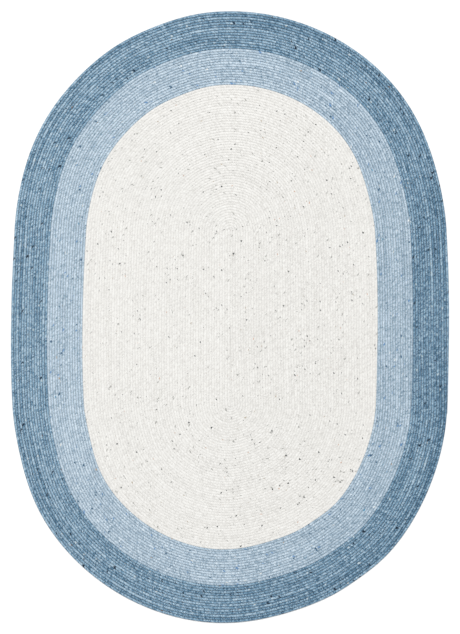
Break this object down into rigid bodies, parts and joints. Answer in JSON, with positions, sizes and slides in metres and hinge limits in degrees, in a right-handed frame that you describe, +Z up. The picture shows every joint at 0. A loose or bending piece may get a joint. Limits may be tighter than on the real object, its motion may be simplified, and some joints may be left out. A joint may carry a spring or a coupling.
{
  "type": "braided rug",
  "caption": "Flat oval rug of laced braid, with an off-white flecked field inside a pale blue border and a denim blue outer border.",
  "frame": {"origin": "middle of the rug's outline, on the flat underside that lies on the floor", "axes": "+Z up out of the face that shows, +Y along the rug's long side, +X across it"},
  "size_m": [1.5232, 2.1264, 0.008],
  "materials": {
    "off_white_braid": "matt off-white braided yarn with small charcoal, grey and rust flecks",
    "pale_blue_braid": "matt heathered pale blue braided yarn",
    "denim_blue_braid": "matt heathered denim blue braided yarn with pale and navy flecks"
  },
  "bodies": {
    "root": {"field": "off_white_braid", "light_band": "pale_blue_braid", "dark_band": "denim_blue_braid"}
  },
  "joints": []
}
